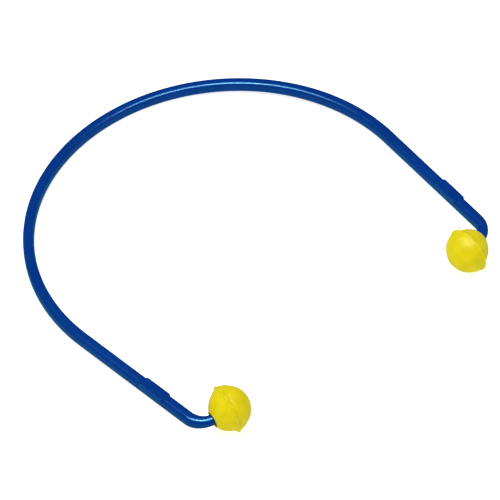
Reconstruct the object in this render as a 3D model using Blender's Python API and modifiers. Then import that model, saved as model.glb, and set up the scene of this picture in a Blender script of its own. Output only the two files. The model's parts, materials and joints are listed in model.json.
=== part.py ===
"""Banded foam ear plugs: a springy plastic band with a round foam pod on each end.

Units are metres and +Z is up. The band lies on the underside of its crown and on the rims of its
two pods. The pods are at -Y, the crown is at +Y, and the right side is at +X. The origin is the
middle of the underside of the whole object's box.

The real band is one moulding that bends along its whole crown. Here it is cut once on each side,
and each arm turns about an upright axis through the middle of its cut.
"""

from math import asin, cos, exp, hypot, pi, radians, sin, sqrt

import bmesh
import bpy
from mathutils import Matrix, Vector

# Centreline of the band, measured from the middle of the crown: arc, straight arm, elbow, stem.
CROWN_RADIUS = 0.075
CROWN_ANGLE = radians(94.3)
ARM_LENGTH = 0.0558
ELBOW_RADIUS = 0.0080
ELBOW_ANGLE = radians(75.5)
ELBOW_LIFT = radians(6.0)
STEM_LENGTH = 0.0090
CROWN_LENGTH = CROWN_RADIUS * CROWN_ANGLE
ELBOW_START = CROWN_LENGTH + ARM_LENGTH
ELBOW_END = ELBOW_START + ELBOW_RADIUS * ELBOW_ANGLE
STEM_END = ELBOW_END + STEM_LENGTH

# The band's section is between an ellipse and a rectangle, and turns round in the elbow. Squareness is
# the power of its outline: 2 is an ellipse, and more is squarer.
BAND_HALF_WIDTH = 0.00203
BAND_HALF_HEIGHT = 0.00232
BAND_SQUARENESS = 3.0
STEM_HALF = 0.0020
STEM_SQUARENESS = 2.0
SIDES = 24
CROWN_STEP = 0.0042
ARM_STEPS = 5
ELBOW_STEPS = 8
NOSE_STEPS = 4
SMALLEST_RING = 0.0004

# The cut at which each arm turns.
FLEX_AT = CROWN_RADIUS * radians(43.0)
FLEX_GAP = 0.0007

# Square-shouldered pad on each arm, with a flat top just above the arm's own.
PAD_MIDDLE = 0.1615
PAD_LENGTH = 0.0130
PAD_WIDTH = 0.0042
PAD_RISE = 0.00008
PAD_DEPTH = 0.0022
PAD_EDGE = 0.00035

# Pod, turned about its stem's axis: a round dome and back that both flare to a rim with a thin ridge.
# Heights and angles are up from the plane of the rim, towards the dome.
RIM_RADIUS = 0.0091
RIDGE_HEIGHT = 0.0003
RIDGE_WIDTH = radians(3.0)
FLARE_DOME_SIDE = radians(26.5)
FLARE_BACK_SIDE = radians(7.6)
DOME_RADIUS = 0.0079
DOME_CENTRE = 0.00045
BACK_RADIUS = 0.00755
BACK_DEPTH = 0.0073
BACK_TO = radians(61.0)
MOUTH_RADIUS = 0.0029
MOUTH_DEPTH = 0.0016
STEM_CLEARANCE = 0.0004
RIM_FROM_ELBOW = 0.0060
POD_STEPS = 48
DOME_STEPS = 11
BACK_STEPS = 9
FINER_NEAR_RIM = 1.5

COLLECTION = "banded_ear_plugs"
AXIS_Z = Vector((0, 0, 1))


def clear_scene():
    for obj in list(bpy.data.objects):
        bpy.data.objects.remove(obj, do_unlink=True)


def make_collection(name):
    collection = bpy.data.collections.new(name)
    bpy.context.scene.collection.children.link(collection)
    return collection


def make_material(name, color, roughness):
    material = bpy.data.materials.new(name)
    material.use_nodes = True
    shader = material.node_tree.nodes["Principled BSDF"]
    shader.inputs["Base Color"].default_value = (*color, 1.0)
    shader.inputs["Roughness"].default_value = roughness
    shader.inputs["Metallic"].default_value = 0.0
    return material


def smoothstep(t):
    return t * t * (3 - 2 * t)


def section_reach(length, angle):
    """Distance from the centreline to the band's skin. angle is up from the outer side."""
    share = smoothstep(min(max((length - ELBOW_START) / (ELBOW_END - ELBOW_START), 0.0), 1.0))
    half_width = BAND_HALF_WIDTH + (STEM_HALF - BAND_HALF_WIDTH) * share
    half_height = BAND_HALF_HEIGHT + (STEM_HALF - BAND_HALF_HEIGHT) * share
    power = BAND_SQUARENESS + (STEM_SQUARENESS - BAND_SQUARENESS) * share
    across = abs(cos(angle) / half_width) ** power
    upward = abs(sin(angle) / half_height) ** power
    return (across + upward) ** (-1 / power)


def centreline(side, length):
    """Point and direction of the centreline, in the band's plane. side is 1 for right, -1 for left.

    A length below zero is on the crown, on the other side of its middle.
    """
    turned = min(length, CROWN_LENGTH) / CROWN_RADIUS
    outward = Vector((side * sin(turned), cos(turned), 0))
    along = Vector((side * cos(turned), -sin(turned), 0))
    point = CROWN_RADIUS * outward
    if length <= CROWN_LENGTH:
        return point, along
    if length <= ELBOW_START:
        return point + (length - CROWN_LENGTH) * along, along
    inward = cos(ELBOW_LIFT) * -outward + sin(ELBOW_LIFT) * AXIS_Z
    bend = min((length - ELBOW_START) / ELBOW_RADIUS, ELBOW_ANGLE)
    point += ARM_LENGTH * along + ELBOW_RADIUS * (sin(bend) * along + (1 - cos(bend)) * inward)
    direction = cos(bend) * along + sin(bend) * inward
    return point + max(0.0, length - ELBOW_END) * direction, direction


def ring(side, length, scale=1.0):
    """Points of the band's section at a length from the middle of the crown."""
    point, direction = centreline(side, length)
    across = direction.cross(AXIS_Z).normalized()
    upward = across.cross(direction)
    points = []
    for i in range(SIDES):
        angle = 2 * pi * i / SIDES
        reach = scale * section_reach(abs(length), angle)
        points.append(point + reach * (cos(angle) * across + sin(angle) * upward))
    return points


def steps_between(start, end, count):
    return [start + (end - start) * i / count for i in range(1, count + 1)]


def nose_rings(side):
    """Rings that round off the stem's end."""
    nose = STEM_END - STEM_HALF
    rings = []
    for i in range(1, NOSE_STEPS + 1):
        angle = pi / 2 * i / NOSE_STEPS
        scale = max(cos(angle), SMALLEST_RING / STEM_HALF)
        rings.append(ring(side, nose + STEM_HALF * sin(angle), scale))
    return rings


def make_loft(name, rings, origin, material, collection):
    """Closed tube through rings of points, with a flat cap on each end."""
    made = bmesh.new()
    loops = [[made.verts.new(point - origin) for point in points] for points in rings]
    for near, far in zip(loops, loops[1:]):
        for i in range(SIDES):
            j = (i + 1) % SIDES
            made.faces.new((near[i], near[j], far[j], far[i]))
    made.faces.new(loops[0])
    made.faces.new(loops[-1])
    bmesh.ops.recalc_face_normals(made, faces=made.faces)
    mesh = bpy.data.meshes.new(name)
    made.to_mesh(mesh)
    made.free()
    mesh.materials.append(material)
    mesh.shade_smooth()
    mesh.set_sharp_from_angle(angle=radians(40))
    obj = bpy.data.objects.new(name, mesh)
    obj.location = origin
    collection.objects.link(obj)
    return obj


def make_crown(band_plane, material, collection):
    """The band between its two cuts."""
    reach = FLEX_AT - FLEX_GAP / 2
    count = 2 * round(reach / CROWN_STEP)
    rings = [ring(1, length) for length in [-reach, *steps_between(-reach, reach, count)]]
    crown = make_loft("band_crown", rings, Vector((0, 0, 0)), material, collection)
    crown.parent = band_plane
    return crown


def make_arm(name, side, band_plane, material, collection):
    """The band from its cut to the rounded end of its stem. Its origin is on its flex axis."""
    start = FLEX_AT + FLEX_GAP / 2
    crown_count = round((CROWN_LENGTH - start) / CROWN_STEP)
    lengths = [start, *steps_between(start, CROWN_LENGTH, crown_count)]
    lengths += steps_between(CROWN_LENGTH, ELBOW_START, ARM_STEPS)
    lengths += steps_between(ELBOW_START, ELBOW_END, ELBOW_STEPS)
    lengths += [STEM_END - STEM_HALF]
    rings = [ring(side, length) for length in lengths] + nose_rings(side)
    flex_point = centreline(side, FLEX_AT)[0]
    arm = make_loft(name, rings, flex_point, material, collection)
    arm.parent = band_plane
    return arm


def make_pad(name, side, arm, helpers):
    """Slab whose top stands out of the arm. It is joined to the arm by a Boolean."""
    bpy.ops.mesh.primitive_cube_add(size=1.0)
    pad = bpy.context.object
    pad.name = name
    for collection in list(pad.users_collection):
        collection.objects.unlink(pad)
    helpers.objects.link(pad)
    pad.data.transform(Matrix.Diagonal((PAD_WIDTH, PAD_LENGTH, PAD_DEPTH, 1)))
    bevel = pad.modifiers.new("rounded_edges", "BEVEL")
    bevel.width = PAD_EDGE
    bevel.segments = 2
    point, direction = centreline(side, PAD_MIDDLE)
    top = BAND_HALF_HEIGHT + PAD_RISE
    pad.parent = arm
    pad.location = point + (top - PAD_DEPTH / 2) * AXIS_Z - arm.location
    pad.rotation_euler = direction.to_track_quat("Y", "Z").to_euler()
    pad.hide_render = True
    pad.display_type = "WIRE"
    union = arm.modifiers.new("pad", "BOOLEAN")
    union.operation = "UNION"
    union.object = pad


def dome_reach(angle):
    """Distance from the middle of the rim's plane to the dome's sphere, without the flare."""
    return DOME_CENTRE * sin(angle) + sqrt(DOME_RADIUS**2 - (DOME_CENTRE * cos(angle)) ** 2)


def back_reach(angle):
    """Distance from the middle of the rim's plane to the back's ellipsoid, without the flare."""
    return 1 / hypot(cos(angle) / BACK_RADIUS, sin(angle) / BACK_DEPTH)


def skin_reach(angle):
    """Distance from the middle of the rim's plane to the pod's skin."""
    if angle > 0:
        base, at_rim, flare_width = dome_reach(angle), dome_reach(0.0), FLARE_DOME_SIDE
    else:
        base, at_rim, flare_width = back_reach(angle), back_reach(0.0), FLARE_BACK_SIDE
    flare = (RIM_RADIUS - RIDGE_HEIGHT - at_rim) / (1 + (angle / flare_width) ** 2)
    return base + flare + RIDGE_HEIGHT * exp(-((angle / RIDGE_WIDTH) ** 2))


def pod_profile():
    """Outline of half the pod, from the dome's top down its outer side and into its socket."""
    angles = [pi / 2 * (1 - i / DOME_STEPS) ** FINER_NEAR_RIM for i in range(DOME_STEPS)]
    angles += [-BACK_TO * (i / BACK_STEPS) ** FINER_NEAR_RIM for i in range(BACK_STEPS + 1)]
    points = [(skin_reach(angle) * cos(angle), skin_reach(angle) * sin(angle)) for angle in angles]
    mouth = points[-1][1]
    socket_radius = STEM_HALF + STEM_CLEARANCE
    socket_end = STEM_LENGTH - RIM_FROM_ELBOW + STEM_CLEARANCE
    points.append((MOUTH_RADIUS, mouth))
    points.append((socket_radius, mouth + MOUTH_DEPTH))
    points.append((socket_radius, socket_end))
    points.append((0.0, socket_end))
    return points


def make_pod(name, side, arm, material, collection):
    """Foam pod, with its origin in the plane of its rim and its own Z along the stem."""
    outline = pod_profile()
    mesh = bpy.data.meshes.new(name)
    edges = [(i, i + 1) for i in range(len(outline) - 1)]
    mesh.from_pydata([(radius, 0, height) for radius, height in outline], edges, [])
    mesh.materials.append(material)
    pod = bpy.data.objects.new(name, mesh)
    collection.objects.link(pod)
    turn = pod.modifiers.new("turned", "SCREW")
    turn.steps = POD_STEPS
    turn.render_steps = POD_STEPS
    turn.use_merge_vertices = True
    turn.merge_threshold = 0.00001
    turn.use_smooth_shade = True
    pod.parent = arm
    pod.matrix_local = Matrix.Translation(-arm.location) @ pod_place(side)
    return pod


def pod_place(side):
    """Place of a pod in the band's plane. Its own X axis points as far down as it can."""
    elbow_end, direction = centreline(side, ELBOW_END)
    down = (direction * direction.z - AXIS_Z).normalized()
    turned = Matrix((down, direction.cross(down), direction)).transposed()
    return Matrix.Translation(elbow_end + RIM_FROM_ELBOW * direction) @ turned.to_4x4()


def tilt_of_plane():
    """Angle at which the crown's underside and both rims touch one flat surface."""
    rim_low = pod_place(1) @ Vector((RIM_RADIUS, 0, 0))
    return asin((-rim_low.z - BAND_HALF_HEIGHT) / (CROWN_RADIUS - rim_low.y))


def stand_on_origin(band_plane, objects):
    """Moves the whole object so that the origin is the middle of its box's underside."""
    bpy.context.view_layer.update()
    graph = bpy.context.evaluated_depsgraph_get()
    points = []
    for obj in objects:
        evaluated = obj.evaluated_get(graph)
        points += [evaluated.matrix_world @ vertex.co for vertex in evaluated.data.vertices]
    depths = [point.y for point in points]
    band_plane.location.y -= (min(depths) + max(depths)) / 2
    band_plane.location.z -= min(point.z for point in points)


def main():
    clear_scene()
    collection = make_collection(COLLECTION)
    helpers = make_collection("cutters")
    helpers.hide_render = True
    blue = make_material("band_plastic", (0.003, 0.042, 0.240), 0.22)
    yellow = make_material("pod_foam", (0.800, 0.640, 0.010), 0.85)

    band_plane = bpy.data.objects.new("band_plane", None)
    collection.objects.link(band_plane)
    band_plane.rotation_euler.x = -tilt_of_plane()

    solids = [make_crown(band_plane, blue, collection)]
    for word, side in (("left", -1), ("right", 1)):
        arm = make_arm(f"band_{word}_arm", side, band_plane, blue, collection)
        make_pad(f"{word}_pad_slab", side, arm, helpers)
        pod = make_pod(f"{word}_pod", side, arm, yellow, collection)
        solids += [arm, pod]
    stand_on_origin(band_plane, solids)


main()
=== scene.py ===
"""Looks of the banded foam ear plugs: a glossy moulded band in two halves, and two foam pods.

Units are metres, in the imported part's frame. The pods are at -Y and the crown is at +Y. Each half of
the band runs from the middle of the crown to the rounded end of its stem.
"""

import json
from math import asin, atan2, ceil, cos, exp, pi, radians, sin, sqrt

import bmesh
import bpy
from mathutils import Matrix, Quaternion, Vector, noise


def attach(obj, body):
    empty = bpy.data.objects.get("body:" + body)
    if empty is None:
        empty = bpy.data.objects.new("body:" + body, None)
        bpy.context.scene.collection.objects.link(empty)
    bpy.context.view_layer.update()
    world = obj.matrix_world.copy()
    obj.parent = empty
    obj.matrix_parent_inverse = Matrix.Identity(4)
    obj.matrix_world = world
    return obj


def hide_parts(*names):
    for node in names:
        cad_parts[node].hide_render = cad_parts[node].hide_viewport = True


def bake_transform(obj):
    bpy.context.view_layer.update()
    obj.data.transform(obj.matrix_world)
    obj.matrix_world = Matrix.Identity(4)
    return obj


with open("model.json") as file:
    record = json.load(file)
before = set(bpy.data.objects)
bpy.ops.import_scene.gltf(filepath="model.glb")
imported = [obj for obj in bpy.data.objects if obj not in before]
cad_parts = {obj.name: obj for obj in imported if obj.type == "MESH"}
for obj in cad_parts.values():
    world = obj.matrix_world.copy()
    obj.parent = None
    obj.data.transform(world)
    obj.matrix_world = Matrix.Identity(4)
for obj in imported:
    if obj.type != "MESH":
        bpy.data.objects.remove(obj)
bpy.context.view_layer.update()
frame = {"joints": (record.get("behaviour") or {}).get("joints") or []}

AXIS_X = Vector((1, 0, 0))
AXIS_Z = Vector((0, 0, 1))

# Centreline of the band, measured from the middle of the crown: arc, straight arm, elbow, stem.
CROWN_RADIUS = 0.075
CROWN_ANGLE = radians(94.3)
ARM_LENGTH = 0.0558
ELBOW_RADIUS = 0.0080
ELBOW_ANGLE = radians(75.5)
ELBOW_LIFT = radians(6.0)
STEM_LENGTH = 0.0090
CROWN_LENGTH = CROWN_RADIUS * CROWN_ANGLE
ELBOW_START = CROWN_LENGTH + ARM_LENGTH
ELBOW_END = ELBOW_START + ELBOW_RADIUS * ELBOW_ANGLE
STEM_END = ELBOW_END + STEM_LENGTH
FLEX_AT = CROWN_RADIUS * radians(43.0)

# The band's section is between an ellipse and a rectangle, and turns round in the elbow. Squareness is
# the power of its outline: 2 is an ellipse, and more is squarer.
BAND_HALF_WIDTH = 0.00203
BAND_HALF_HEIGHT = 0.00232
BAND_SQUARENESS = 3.0
STEM_HALF = 0.0020
STEM_SQUARENESS = 2.0

# The section is this many times its base size on the crown and on the arms. It changes from one to the
# other between two lengths.
CROWN_SWELL = 1.03
ARM_SWELL = 1.09
SWELL_START = 0.060
SWELL_END = 0.105

# Fineness of the band's mesh: points round a ring, and how far apart the rings are. The smallest ring
# closes the stem's rounded end.
BAND_SIDES = 96
BAND_STEP = 0.0008
ELBOW_STEP = 0.0003
NOSE_STEPS = 12
SMALLEST_RING = 0.00005

# Square-shouldered pad on each arm. It rises gently on the crown's side, over PAD_RAMP, and steps down
# by the elbow, over PAD_STEP. Its flat top stands PAD_RISE over the arm, its sides reach down to
# PAD_FOOT over the centreline, and PAD_CORNER takes back the corners of its ends.
PAD_START = 0.1550
PAD_END = 0.1680
PAD_WIDTH = 0.00455
PAD_RISE = 0.00008
PAD_TOP = ARM_SWELL * BAND_HALF_HEIGHT + PAD_RISE
PAD_EDGE = 0.00035
PAD_FOOT = 0.0009
PAD_FILLET = 0.00025
PAD_RAMP = 0.0014
PAD_STEP = 0.00006
PAD_CORNER = 0.0003
PAD_FINE_STEP = 0.00009

# Pod, turned about its stem's axis: a round dome and back that both flare to a rim with a thin ridge.
# Heights and angles are up from the plane of the rim, towards the dome. The crease runs beside the
# ridge, and the mouth's lip starts where the back ends, BACK_TO below the rim's plane.
RIM_FROM_ELBOW = 0.0060
RIM_RADIUS = 0.0091
RIDGE_HEIGHT = 0.00045
RIDGE_WIDTH = radians(2.4)
FLARE_DOME_SIDE = radians(26.5)
FLARE_BACK_SIDE = radians(7.6)
CREASE_DEPTH = 0.00003
CREASE_AT = radians(6.8)
CREASE_WIDTH = radians(2.0)
DOME_RADIUS = 0.0079
DOME_CENTRE = 0.00045
BACK_RADIUS = 0.00755
BACK_DEPTH = 0.0073
BACK_TO = radians(61.0)
LIP_ROUND = 0.00035
LIP_STEPS = 8
MOUTH_RADIUS = 0.0030
MOUTH_DEPTH = 0.0016
MOUTH_STEPS = 8
STEM_CLEARANCE = 0.0004
SOCKET_BEVEL = 0.0004

# Fineness of the pod's mesh: points round a ring, and rings close together in a zone beside the rim.
POD_SIDES = 180
RIM_STEP = radians(0.5)
SKIN_STEP = radians(1.8)
RIM_ZONE = radians(14.0)

# The pods sit a little askew on their stems: each skin's shift, and the right dome's direction, in the
# band's plane. The left dome points along its stem. A skin's size is how many times its outline's size.
SKIN_SHIFT = {"left": Vector((0.0, 0.0008, 0.0003)), "right": Vector((-0.00048, -0.00064, -0.00010))}
SKIN_SIZE = {"left": 1.035, "right": 1.0}
RIGHT_DOME_AXIS = Vector((-0.997, -0.066, -0.034))

# Unevenness of the foam's skin: how far it swells, the noise's cells in a metre, and where in the noise
# each pod lies.
SLOW_SWELL = 0.00009
SLOW_SWELL_SCALE = 260.0
FINE_SWELL = 0.00002
FINE_SWELL_SCALE = 900.0
NOISE_PLACE = Vector((7.0, -7.0, 3.5))

# Edges bent by more than these angles stay sharp.
BAND_SHARP = radians(30.0)
POD_SHARP = radians(60.0)

# Two places on the crown, measured from its middle. make_part finds their points but does not use them.
BEND_START = CROWN_RADIUS * radians(5.0)
BEND_END = CROWN_RADIUS * radians(85.0)

# Colours, the part of a noise's range over which one turns to the other, and the part of it that a
# range of roughness is stretched over.
BLUE_DARK = (0.0002, 0.027, 0.195)
BLUE_LIGHT = (0.0002, 0.033, 0.225)
YELLOW_DEEP = (0.635, 0.530, 0.0004)
YELLOW_LIGHT = (0.70, 0.587, 0.0008)
FLOOR_DARK = (0.64, 0.64, 0.64)
FLOOR_LIGHT = (0.66, 0.66, 0.66)
WHITE = (1.0, 1.0, 1.0)
MOTTLE = (0.35, 0.65)
FLOOR_MOTTLE = (0.3, 0.7)
NOISE_LOW = 0.3
NOISE_HIGH = 0.7

# Plastic. A scale is a noise's cells in a metre, and a bump is a height.
PLASTIC_COLOR_SCALE = 70.0
PLASTIC_GLOSS_SCALE = 420.0
PLASTIC_ROUGHNESS = (0.17, 0.25)
PLASTIC_BUMP_SCALE = 260.0
PLASTIC_BUMP = 0.00004
PLASTIC_IOR = 1.5
PLASTIC_TINT = (0.28, 0.80, 1.0, 1.0)

# Foam. Its grain is the fine pores, and its lumps are the larger ones.
FOAM_COLOR_SCALE = 240.0
FOAM_GLOSS_SCALE = 900.0
FOAM_ROUGHNESS = (0.38, 0.50)
FOAM_GRAIN_SCALE = 2600.0
FOAM_GRAIN = 0.00006
FOAM_LUMPS_SCALE = 700.0
FOAM_LUMPS = 0.00010
FOAM_IOR = 1.4
FOAM_SPECULAR = 0.15

# Camera: it looks down on the band from its left front side. Lens and sensor are in millimetres.
CAMERA_AIM = Vector((-0.0008, -0.0128, 0.0052))
CAMERA_DISTANCE = 1.865
CAMERA_AZIMUTH = radians(-38.24)
CAMERA_ELEVATION = radians(49.39)
CAMERA_ROLL = radians(2.71)
CAMERA_LENS = 360.0
CAMERA_SENSOR = 36.0
CLIP_START = 0.01
CLIP_END = 50.0

# Floor, a hair under the part. It glows a little, which keeps the shadows on it faint.
FLOOR_HALF_SIDE = 6.0
FLOOR_CELLS = 8
FLOOR_HEIGHT = -0.00010
FLOOR_SCALE = 3.0
FLOOR_ROUGHNESS = 0.9
FLOOR_GLOW = 0.75

# Surroundings: how brightly they light matte surfaces, and what glossy ones reflect of them. That comes
# only from below the horizon, and is full where the direction's Z is BELOW_FULL.
FILL_LEVEL = 0.46
BELOW_LEVEL = 0.32
BELOW_FULL = -0.2
BELOW_COLOR = (0.15, 1.0, 0.85)

# Softboxes: name, azimuth and elevation in degrees, distance, long and short sides, watts, and the kind
# of shading that they show in. The long sides all point to one azimuth.
LONG_SIDE_AZIMUTH = radians(45.0)
SOFTBOXES = (
    ("key_softbox", -110.0, 80.0, 1.5, (1.3, 1.3), 20.0, "diffuse"),
    ("highlight_softbox", -50.0, 84.0, 1.0, (1.25, 0.45), 26.0, "glossy"),
    ("highlight_core", -98.0, 80.6, 1.0, (0.30, 0.30), 5.0, "glossy"),
    ("highlight_surround", -80.0, 82.0, 1.0, (1.1, 1.1), 4.0, "glossy"),
)


def smoothstep(t):
    """0 below 0, 1 above 1, and a smooth rise between."""
    t = min(max(t, 0.0), 1.0)
    return t * t * (3 - 2 * t)


def joint(name):
    """A joint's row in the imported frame."""
    return next(row for row in frame["joints"] if row["name"] == name)


def swell_at(length):
    """How many times its base size the band's section is."""
    share = smoothstep((length - SWELL_START) / (SWELL_END - SWELL_START))
    return CROWN_SWELL + (ARM_SWELL - CROWN_SWELL) * share


def section_reach(length, angle):
    """Distance from the centreline to the band's skin, at an angle up from its side."""
    share = smoothstep((length - ELBOW_START) / (ELBOW_END - ELBOW_START))
    swell = swell_at(length)
    half_width = swell * BAND_HALF_WIDTH + (STEM_HALF - swell * BAND_HALF_WIDTH) * share
    half_height = swell * BAND_HALF_HEIGHT + (STEM_HALF - swell * BAND_HALF_HEIGHT) * share
    power = BAND_SQUARENESS + (STEM_SQUARENESS - BAND_SQUARENESS) * share
    across = abs(cos(angle) / half_width) ** power
    upward = abs(sin(angle) / half_height) ** power
    return (across + upward) ** (-1 / power)


def centreline(side, length):
    """Point and direction of the centreline, in the band's plane. side is 1 for right, -1 for left."""
    turned = min(length, CROWN_LENGTH) / CROWN_RADIUS
    outward = Vector((side * sin(turned), cos(turned), 0))
    along = Vector((side * cos(turned), -sin(turned), 0))
    point = CROWN_RADIUS * outward
    if length <= CROWN_LENGTH:
        return point, along
    if length <= ELBOW_START:
        return point + (length - CROWN_LENGTH) * along, along
    inward = cos(ELBOW_LIFT) * -outward + sin(ELBOW_LIFT) * AXIS_Z
    bend = min((length - ELBOW_START) / ELBOW_RADIUS, ELBOW_ANGLE)
    point += ARM_LENGTH * along + ELBOW_RADIUS * (sin(bend) * along + (1 - cos(bend)) * inward)
    direction = cos(bend) * along + sin(bend) * inward
    return point + max(0.0, length - ELBOW_END) * direction, direction


def band_plane():
    """Matrix from the band's own plane to the part's frame, read from the right arm's flex axis."""
    flex = joint("right_arm_flex")
    normal = Vector(flex["axis"]).normalized()
    turned = Matrix((AXIS_X, normal.cross(AXIS_X), normal)).transposed()
    offset = Vector(flex["pos_m"]) - turned @ centreline(1, FLEX_AT)[0]
    return Matrix.Translation(offset) @ turned.to_4x4()


def pod_place(side):
    """Place of a pod in the band's plane. Its own X axis points as far down as it can."""
    elbow_end, direction = centreline(side, ELBOW_END)
    down = (direction * direction.z - AXIS_Z).normalized()
    turned = Matrix((down, direction.cross(down), direction)).transposed()
    return Matrix.Translation(elbow_end + RIM_FROM_ELBOW * direction) @ turned.to_4x4()


def ellipse_reach(angle, half_width, half_height):
    """Distance from an ellipse's middle to its outline."""
    return 1 / sqrt((cos(angle) / half_width) ** 2 + (sin(angle) / half_height) ** 2)


def pad_reach(angle):
    """Distance from the centreline to the pad's round-edged outline, or 0 below the foot of its sides."""
    sideways, upward = abs(cos(angle)), sin(angle)
    half = PAD_WIDTH / 2
    if half * upward < PAD_FOOT * sideways:
        return 0.0
    corner_x, corner_z = half - PAD_EDGE, PAD_TOP - PAD_EDGE
    if sideways * PAD_TOP <= corner_x * upward:
        return PAD_TOP / upward
    if upward * half <= corner_z * sideways:
        return half / sideways
    middle = corner_x * sideways + corner_z * upward
    off = corner_x**2 + corner_z**2 - middle**2
    return middle + sqrt(max(0.0, PAD_EDGE**2 - off))


def soft_max(a, b, width):
    """The larger of two numbers, rounded off where they are less than width apart."""
    near = max(width - abs(a - b), 0.0) / width
    return max(a, b) + near * near * width / 4


def pad_share(length, sideways):
    """How much of the pad's shape there is at a length. sideways is 0 on its middle and 1 at its edge."""
    corner = PAD_CORNER * min(sideways, 1.0) ** 4
    rise = smoothstep((length - PAD_START - corner) / PAD_RAMP)
    fall = min(max((PAD_END - corner - length) / PAD_STEP, 0.0), 1.0)
    return min(rise, fall)


def band_ring(side, length, scale=1.0):
    """Points of the band's section at a length from the middle of the crown, in the band's plane."""
    point, direction = centreline(side, length)
    across = direction.cross(AXIS_Z).normalized()
    upward = across.cross(direction)
    has_pad = PAD_START < length < PAD_END
    points = []
    for i in range(BAND_SIDES):
        angle = 2 * pi * i / BAND_SIDES
        reach = section_reach(length, angle)
        if has_pad:
            padded = soft_max(reach, pad_reach(angle), PAD_FILLET)
            sideways = abs(padded * cos(angle)) / (PAD_WIDTH / 2)
            reach += (padded - reach) * pad_share(length, sideways)
        offset = reach * (cos(angle) * across + sin(angle) * upward)
        points.append(point + scale * offset)
    return points


def stretch(start, end, step):
    """Even values after start, up or down to end and with it."""
    count = ceil(abs(end - start) / step)
    return [start + (end - start) * i / count for i in range(1, count + 1)]


def band_lengths():
    """Where the band's rings are: close together on the pad's ends and round the elbow."""
    lengths = [0.0]
    for end, step in (
        (PAD_START, BAND_STEP),
        (PAD_START + PAD_RAMP + PAD_CORNER, PAD_FINE_STEP),
        (PAD_END - PAD_STEP - PAD_CORNER, BAND_STEP),
        (PAD_END, PAD_FINE_STEP),
        (ELBOW_START, BAND_STEP),
        (ELBOW_END, ELBOW_STEP),
        (STEM_END - STEM_HALF, BAND_STEP),
    ):
        lengths += stretch(lengths[-1], end, step)
    return lengths


def nose_rings(side):
    """Rings that round off the stem's end."""
    nose = STEM_END - STEM_HALF
    rings = []
    for i in range(1, NOSE_STEPS + 1):
        angle = pi / 2 * i / NOSE_STEPS
        scale = max(cos(angle), SMALLEST_RING / STEM_HALF)
        rings.append(band_ring(side, nose + STEM_HALF * sin(angle), scale))
    return rings


def add_object(name, made, material, sharp_angle):
    """Object of a finished bmesh, in one material, smooth but for its sharp edges."""
    bmesh.ops.recalc_face_normals(made, faces=made.faces)
    mesh = bpy.data.meshes.new(name)
    made.to_mesh(mesh)
    made.free()
    mesh.materials.append(material)
    mesh.shade_smooth()
    mesh.set_sharp_from_angle(angle=sharp_angle)
    obj = bpy.data.objects.new(name, mesh)
    bpy.context.scene.collection.objects.link(obj)
    return obj


def join_rings(made, near, far):
    """Faces between two rings of vertices. A ring of one vertex is a pole."""
    count = max(len(near), len(far))
    for i in range(count):
        j = (i + 1) % count
        corners = [near[i % len(near)], near[j % len(near)], far[j % len(far)], far[i % len(far)]]
        made.faces.new(list(dict.fromkeys(corners)))


def add_rings(made, rings, placed):
    """Vertices for rings of points, placed by a matrix, and the faces from each ring to the next."""
    loops = [[made.verts.new(placed @ point) for point in points] for points in rings]
    for near, far in zip(loops, loops[1:]):
        join_rings(made, near, far)
    return loops


def make_band_half(word, side, plane, material):
    """One half of the band, closed by a flat face in the middle of the crown."""
    rings = [band_ring(side, length) for length in band_lengths()] + nose_rings(side)
    made = bmesh.new()
    loops = add_rings(made, rings, plane)
    made.faces.new(loops[0])
    made.faces.new(loops[-1])
    return add_object(f"band_{word}_half", made, material, BAND_SHARP)


def dome_reach(angle):
    """Distance from the middle of the rim's plane to the dome's sphere, without the flare."""
    return DOME_CENTRE * sin(angle) + sqrt(DOME_RADIUS**2 - (DOME_CENTRE * cos(angle)) ** 2)


def hump(angle, middle, width):
    """Bell curve, 1 in its middle."""
    return exp(-(((angle - middle) / width) ** 2))


def skin_reach(angle):
    """Distance from the middle of the rim's plane to the pod's skin."""
    if angle > 0:
        base = dome_reach(angle)
        at_rim, flare_width = dome_reach(0.0), FLARE_DOME_SIDE
    else:
        base = ellipse_reach(angle, BACK_RADIUS, BACK_DEPTH)
        at_rim, flare_width = BACK_RADIUS, FLARE_BACK_SIDE
    flare = (RIM_RADIUS - RIDGE_HEIGHT - at_rim) / (1 + (angle / flare_width) ** 2)
    ridge = RIDGE_HEIGHT * hump(angle, 0.0, RIDGE_WIDTH)
    return base + flare + ridge - CREASE_DEPTH * hump(angle, CREASE_AT, CREASE_WIDTH)


def skin_outline():
    """Outline of half the pod's skin as (radius, height), from the dome's top to the edge of its mouth."""
    angles = stretch(pi / 2, RIM_ZONE, SKIN_STEP) + stretch(RIM_ZONE, -RIM_ZONE, RIM_STEP)
    angles += stretch(-RIM_ZONE, -BACK_TO, SKIN_STEP)
    points = [(0.0, skin_reach(pi / 2))]
    points += [(skin_reach(angle) * cos(angle), skin_reach(angle) * sin(angle)) for angle in angles]
    return points


def mouth_outline(edge, mouth):
    """Outline of half the pod's lip, mouth and socket as (radius, height), from the skin's last point."""
    points = []
    for i in range(1, LIP_STEPS + 1):
        turn = pi / 2 * i / LIP_STEPS
        points.append((edge + (MOUTH_RADIUS - edge) * sin(turn), mouth - LIP_ROUND * sin(2 * turn)))
    socket_radius = STEM_HALF + STEM_CLEARANCE
    for i in range(1, MOUTH_STEPS + 1):
        share = i / MOUTH_STEPS
        radius = MOUTH_RADIUS + (socket_radius - MOUTH_RADIUS) * smoothstep(share)
        points.append((radius, mouth + MOUTH_DEPTH * share))
    socket_end = STEM_LENGTH - RIM_FROM_ELBOW + STEM_CLEARANCE
    points.append((socket_radius, socket_end - SOCKET_BEVEL))
    points.append((socket_radius - SOCKET_BEVEL, socket_end))
    points.append((0.0, socket_end))
    return points


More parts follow.
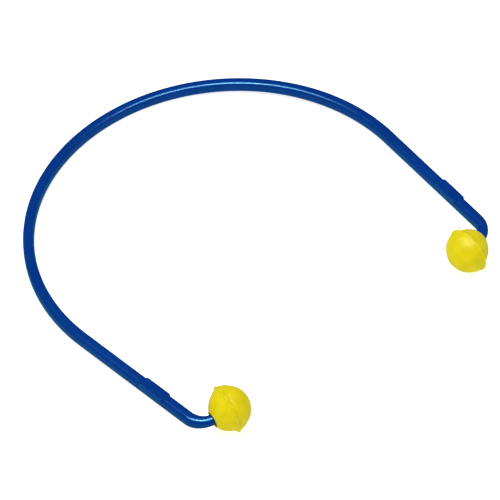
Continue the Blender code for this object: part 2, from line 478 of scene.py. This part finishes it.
def unevenness(point, side):
    """Slow swells of moulded foam, and finer ones over them."""
    shift = side * NOISE_PLACE
    slow = SLOW_SWELL * noise.noise(point * SLOW_SWELL_SCALE + shift)
    return slow + FINE_SWELL * noise.noise(point * FINE_SWELL_SCALE + shift)


def pod_ring(radius, height):
    """Points round the pod's axis. A radius of 0 gives one."""
    count = POD_SIDES if radius > 0 else 1
    angles = [2 * pi * i / POD_SIDES for i in range(count)]
    return [Vector((radius * cos(angle), radius * sin(angle), height)) for angle in angles]


def skin_rings(side, dome_axis, shift, size):
    """Rings of the pod's skin, with its dome along an axis, moved, enlarged and uneven.

    The turn, the shift and the enlargement fade from the zone beside the rim to the mouth, which stays
    round the stem.
    """
    tilt = AXIS_Z.rotation_difference(dome_axis)
    rings = []
    for radius, height in skin_outline():
        share = min(max((atan2(height, radius) + BACK_TO) / (BACK_TO - RIM_ZONE), 0.0), 1.0)
        part_tilt = Quaternion().slerp(tilt, share)
        ring = []
        for point in pod_ring(radius, height):
            towards = part_tilt @ point.normalized()
            reach = skin_reach(asin(min(max(towards.dot(dome_axis), -1.0), 1.0)))
            reach *= 1 + (size - 1) * share
            ring.append((reach + unevenness(point, side)) * towards + share * shift)
        rings.append(ring)
    return rings


def make_pod(word, side, plane, material):
    """Foam pod. Its origin is the middle of its rim, and its axes are the part's."""
    axis = RIGHT_DOME_AXIS if side > 0 else centreline(side, ELBOW_END)[1]
    place = plane @ pod_place(side)
    turned = place.to_3x3()
    to_pod = turned.inverted() @ plane.to_3x3()
    rings = skin_rings(side, to_pod @ axis.normalized(), to_pod @ SKIN_SHIFT[word], SKIN_SIZE[word])
    rings += [pod_ring(radius, height) for radius, height in mouth_outline(*skin_outline()[-1])]
    made = bmesh.new()
    add_rings(made, rings, turned)
    pod = add_object(f"{word}_foam_pod", made, material, POD_SHARP)
    pod.location = place.translation
    return pod


def start_material(name):
    """A material with its Principled shader, and its tree."""
    material = bpy.data.materials.new(name)
    material.use_nodes = True
    return material, material.node_tree, material.node_tree.nodes["Principled BSDF"]


def add_noise(tree, scale, detail):
    """A noise in the object's own space, as its Fac output."""
    place = tree.nodes.new("ShaderNodeTexCoord")
    texture = tree.nodes.new("ShaderNodeTexNoise")
    texture.inputs["Scale"].default_value = scale
    texture.inputs["Detail"].default_value = detail
    tree.links.new(place.outputs["Object"], texture.inputs["Vector"])
    return texture.outputs["Fac"]


def add_ramp(tree, factor, positions, colors):
    """A colour that goes from the first to the second as factor goes between two positions."""
    ramp = tree.nodes.new("ShaderNodeValToRGB")
    for element, position, color in zip(ramp.color_ramp.elements, positions, colors):
        element.position = position
        element.color = (*color, 1.0)
    tree.links.new(factor, ramp.inputs["Fac"])
    return ramp.outputs["Color"]


def add_range(tree, factor, low, high):
    """A noise's Fac stretched over a range of values."""
    scaled = tree.nodes.new("ShaderNodeMapRange")
    scaled.inputs["From Min"].default_value = NOISE_LOW
    scaled.inputs["From Max"].default_value = NOISE_HIGH
    scaled.inputs["To Min"].default_value = low
    scaled.inputs["To Max"].default_value = high
    tree.links.new(factor, scaled.inputs["Value"])
    return scaled.outputs["Result"]


def add_bump(tree, height, distance, strength, below=None):
    """A bumpy normal, on top of the one below."""
    bump = tree.nodes.new("ShaderNodeBump")
    bump.inputs["Strength"].default_value = strength
    bump.inputs["Distance"].default_value = distance
    tree.links.new(height, bump.inputs["Height"])
    if below is not None:
        tree.links.new(below, bump.inputs["Normal"])
    return bump.outputs["Normal"]


def make_plastic():
    """Glossy moulded plastic, with faint flow marks in its colour and light rubbing in its gloss."""
    material, tree, shader = start_material("band_plastic")
    flow_marks = add_noise(tree, PLASTIC_COLOR_SCALE, detail=3.0)
    color = add_ramp(tree, flow_marks, MOTTLE, (BLUE_DARK, BLUE_LIGHT))
    tree.links.new(color, shader.inputs["Base Color"])
    rubbing = add_noise(tree, PLASTIC_GLOSS_SCALE, detail=6.0)
    tree.links.new(add_range(tree, rubbing, *PLASTIC_ROUGHNESS), shader.inputs["Roughness"])
    waviness = add_noise(tree, PLASTIC_BUMP_SCALE, detail=2.0)
    normal = add_bump(tree, waviness, PLASTIC_BUMP, strength=0.35)
    tree.links.new(normal, shader.inputs["Normal"])
    shader.inputs["IOR"].default_value = PLASTIC_IOR
    shader.inputs["Specular Tint"].default_value = PLASTIC_TINT
    return material


def make_foam():
    """Matte foam with a closed skin, fine pores and uneven colour."""
    material, tree, shader = start_material("pod_foam")
    mottle = add_noise(tree, FOAM_COLOR_SCALE, detail=4.0)
    color = add_ramp(tree, mottle, MOTTLE, (YELLOW_DEEP, YELLOW_LIGHT))
    tree.links.new(color, shader.inputs["Base Color"])
    dullness = add_noise(tree, FOAM_GLOSS_SCALE, detail=4.0)
    tree.links.new(add_range(tree, dullness, *FOAM_ROUGHNESS), shader.inputs["Roughness"])
    pores = add_noise(tree, FOAM_GRAIN_SCALE, detail=3.0)
    grain = add_bump(tree, pores, FOAM_GRAIN, strength=0.35)
    lumps = add_noise(tree, FOAM_LUMPS_SCALE, detail=2.0)
    normal = add_bump(tree, lumps, FOAM_LUMPS, strength=0.30, below=grain)
    tree.links.new(normal, shader.inputs["Normal"])
    shader.inputs["IOR"].default_value = FOAM_IOR
    shader.inputs["Specular IOR Level"].default_value = FOAM_SPECULAR
    return material


def make_floor():
    """Plain pale floor, which glossy surfaces do not reflect."""
    material, tree, shader = start_material("floor_paper")
    mottle = add_noise(tree, FLOOR_SCALE, detail=2.0)
    color = add_ramp(tree, mottle, FLOOR_MOTTLE, (FLOOR_DARK, FLOOR_LIGHT))
    tree.links.new(color, shader.inputs["Base Color"])
    shader.inputs["Roughness"].default_value = FLOOR_ROUGHNESS
    shader.inputs["Specular IOR Level"].default_value = 0.0
    shader.inputs["Emission Color"].default_value = (*WHITE, 1.0)
    shader.inputs["Emission Strength"].default_value = FLOOR_GLOW
    made = bmesh.new()
    bmesh.ops.create_grid(made, x_segments=FLOOR_CELLS, y_segments=FLOOR_CELLS, size=FLOOR_HALF_SIDE)
    floor = add_object("floor", made, material, pi)
    floor.location.z = FLOOR_HEIGHT
    floor.visible_glossy = False


def direction_to(azimuth, elevation):
    """Direction to a place round the part. Azimuth 0 is in front, and 90 degrees is on its right."""
    return Vector((sin(azimuth) * cos(elevation), -cos(azimuth) * cos(elevation), sin(elevation)))


def make_softbox(name, azimuth, elevation, distance, sizes, power, shading):
    """Oval area light aimed at the part. It shows in one kind of shading, diffuse or glossy."""
    light = bpy.data.lights.new(name, "AREA")
    light.shape = "ELLIPSE"
    light.size, light.size_y = sizes
    light.energy = power
    obj = bpy.data.objects.new(name, light)
    towards = direction_to(radians(azimuth), radians(elevation))
    short_side = towards.cross(direction_to(LONG_SIDE_AZIMUTH, 0.0)).normalized()
    turned = Matrix((short_side.cross(towards), short_side, towards)).transposed()
    obj.matrix_world = Matrix.Translation(CAMERA_AIM + distance * towards) @ turned.to_4x4()
    obj.visible_diffuse = shading == "diffuse"
    obj.visible_glossy = shading == "glossy"
    bpy.context.scene.collection.objects.link(obj)


def make_world():
    """Even surroundings: they fill the shadows and look white, and reflect only from below, dimly."""
    world = bpy.data.worlds.new("studio")
    world.use_nodes = True
    tree = world.node_tree
    background = tree.nodes["Background"]
    ray = tree.nodes.new("ShaderNodeLightPath")
    level = tree.nodes.new("ShaderNodeMapRange")
    level.inputs["To Min"].default_value = FILL_LEVEL
    level.inputs["To Max"].default_value = 1.0
    tree.links.new(ray.outputs["Is Camera Ray"], level.inputs["Value"])
    place = tree.nodes.new("ShaderNodeTexCoord")
    split = tree.nodes.new("ShaderNodeSeparateXYZ")
    tree.links.new(place.outputs["Generated"], split.inputs["Vector"])
    below = tree.nodes.new("ShaderNodeMapRange")
    below.inputs["From Min"].default_value = 0.0
    below.inputs["From Max"].default_value = BELOW_FULL
    below.inputs["To Max"].default_value = BELOW_LEVEL
    tree.links.new(split.outputs["Z"], below.inputs["Value"])
    choice = tree.nodes.new("ShaderNodeMix")
    tree.links.new(ray.outputs["Is Glossy Ray"], choice.inputs["Factor"])
    tree.links.new(level.outputs["Result"], choice.inputs["A"])
    tree.links.new(below.outputs["Result"], choice.inputs["B"])
    tree.links.new(choice.outputs["Result"], background.inputs["Strength"])
    tint = add_ramp(tree, ray.outputs["Is Glossy Ray"], (0.0, 1.0), (WHITE, BELOW_COLOR))
    tree.links.new(tint, background.inputs["Color"])
    bpy.context.scene.world = world


def make_camera():
    """Camera at its place round the aim, rolled about its line of sight."""
    camera = bpy.data.cameras.new("camera")
    camera.lens = CAMERA_LENS
    camera.sensor_width = CAMERA_SENSOR
    camera.clip_start = CLIP_START
    camera.clip_end = CLIP_END
    obj = bpy.data.objects.new("camera", camera)
    back = direction_to(CAMERA_AZIMUTH, CAMERA_ELEVATION)
    right = Vector((cos(CAMERA_AZIMUTH), sin(CAMERA_AZIMUTH), 0))
    level_up = back.cross(right)
    up = cos(CAMERA_ROLL) * level_up + sin(CAMERA_ROLL) * right
    turned = Matrix((up.cross(back), up, back)).transposed()
    obj.matrix_world = Matrix.Translation(CAMERA_AIM + CAMERA_DISTANCE * back) @ turned.to_4x4()
    bpy.context.scene.collection.objects.link(obj)
    bpy.context.scene.camera = obj


def make_part():
    """The two halves of the band, fixed in place, and the two pods, which ride on their arms."""
    plane = band_plane()
    plastic = make_plastic()
    foam = make_foam()
    bend_start = plane @ centreline(1, BEND_START)[0]
    bend_end = plane @ centreline(1, BEND_END)[0]
    for word, side in (("left", -1), ("right", 1)):
        half = make_band_half(word, side, plane, plastic)
        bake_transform(half)
        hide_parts(f"band_{word}_arm", "band_crown")
        pod = make_pod(word, side, plane, foam)
        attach(pod, f"{word}_pod")
        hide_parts(f"{word}_pod")


make_part()
make_floor()
make_world()
for softbox in SOFTBOXES:
    make_softbox(*softbox)
make_camera()
bpy.context.scene.view_settings.view_transform = "Standard"
